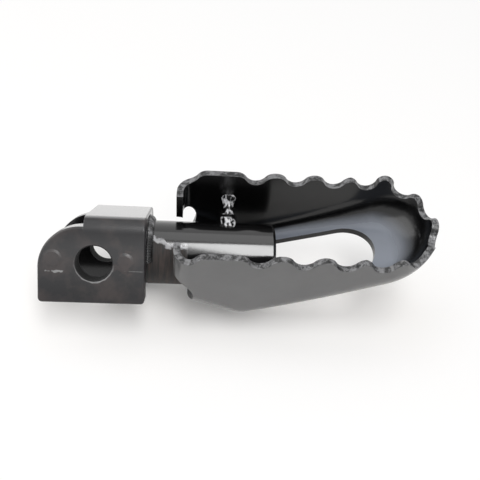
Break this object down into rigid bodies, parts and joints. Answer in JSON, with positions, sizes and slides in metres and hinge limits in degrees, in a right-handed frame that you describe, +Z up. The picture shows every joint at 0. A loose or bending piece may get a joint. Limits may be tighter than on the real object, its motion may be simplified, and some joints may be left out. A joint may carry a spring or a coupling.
{
  "type": "motorcycle footpeg",
  "caption": "Folding footpeg of black steel: a deep pressed tray with a toothed rim and a floor slot, welded to a round shaft that ends in a clevis bracket with a pivot hole.",
  "frame": {"origin": "middle of the pivot hole's axis, halfway between the two ears of the bracket", "axes": "+X out along the peg towards the rounded tip, +Z up and square to the toothed rim, +Y across the tray; the pivot hole's axis lies in the YZ plane and dips 40 degrees below +Y"},
  "size_m": [0.1153, 0.037, 0.04],
  "materials": {
    "bracket_paint": "satin black paint over forged steel",
    "shaft_paint": "gloss black paint",
    "pan_paint": "gloss black paint, thin on the cut rim",
    "weld_paint": "gloss black paint over rippled weld"
  },
  "bodies": {
    "root": {"hinge_bracket": "bracket_paint", "peg_shaft": "shaft_paint", "foot_pan": "pan_paint", "bracket_weld": "weld_paint", "stitch_weld_left": "weld_paint", "stitch_weld_right": "weld_paint"}
  },
  "joints": []
}
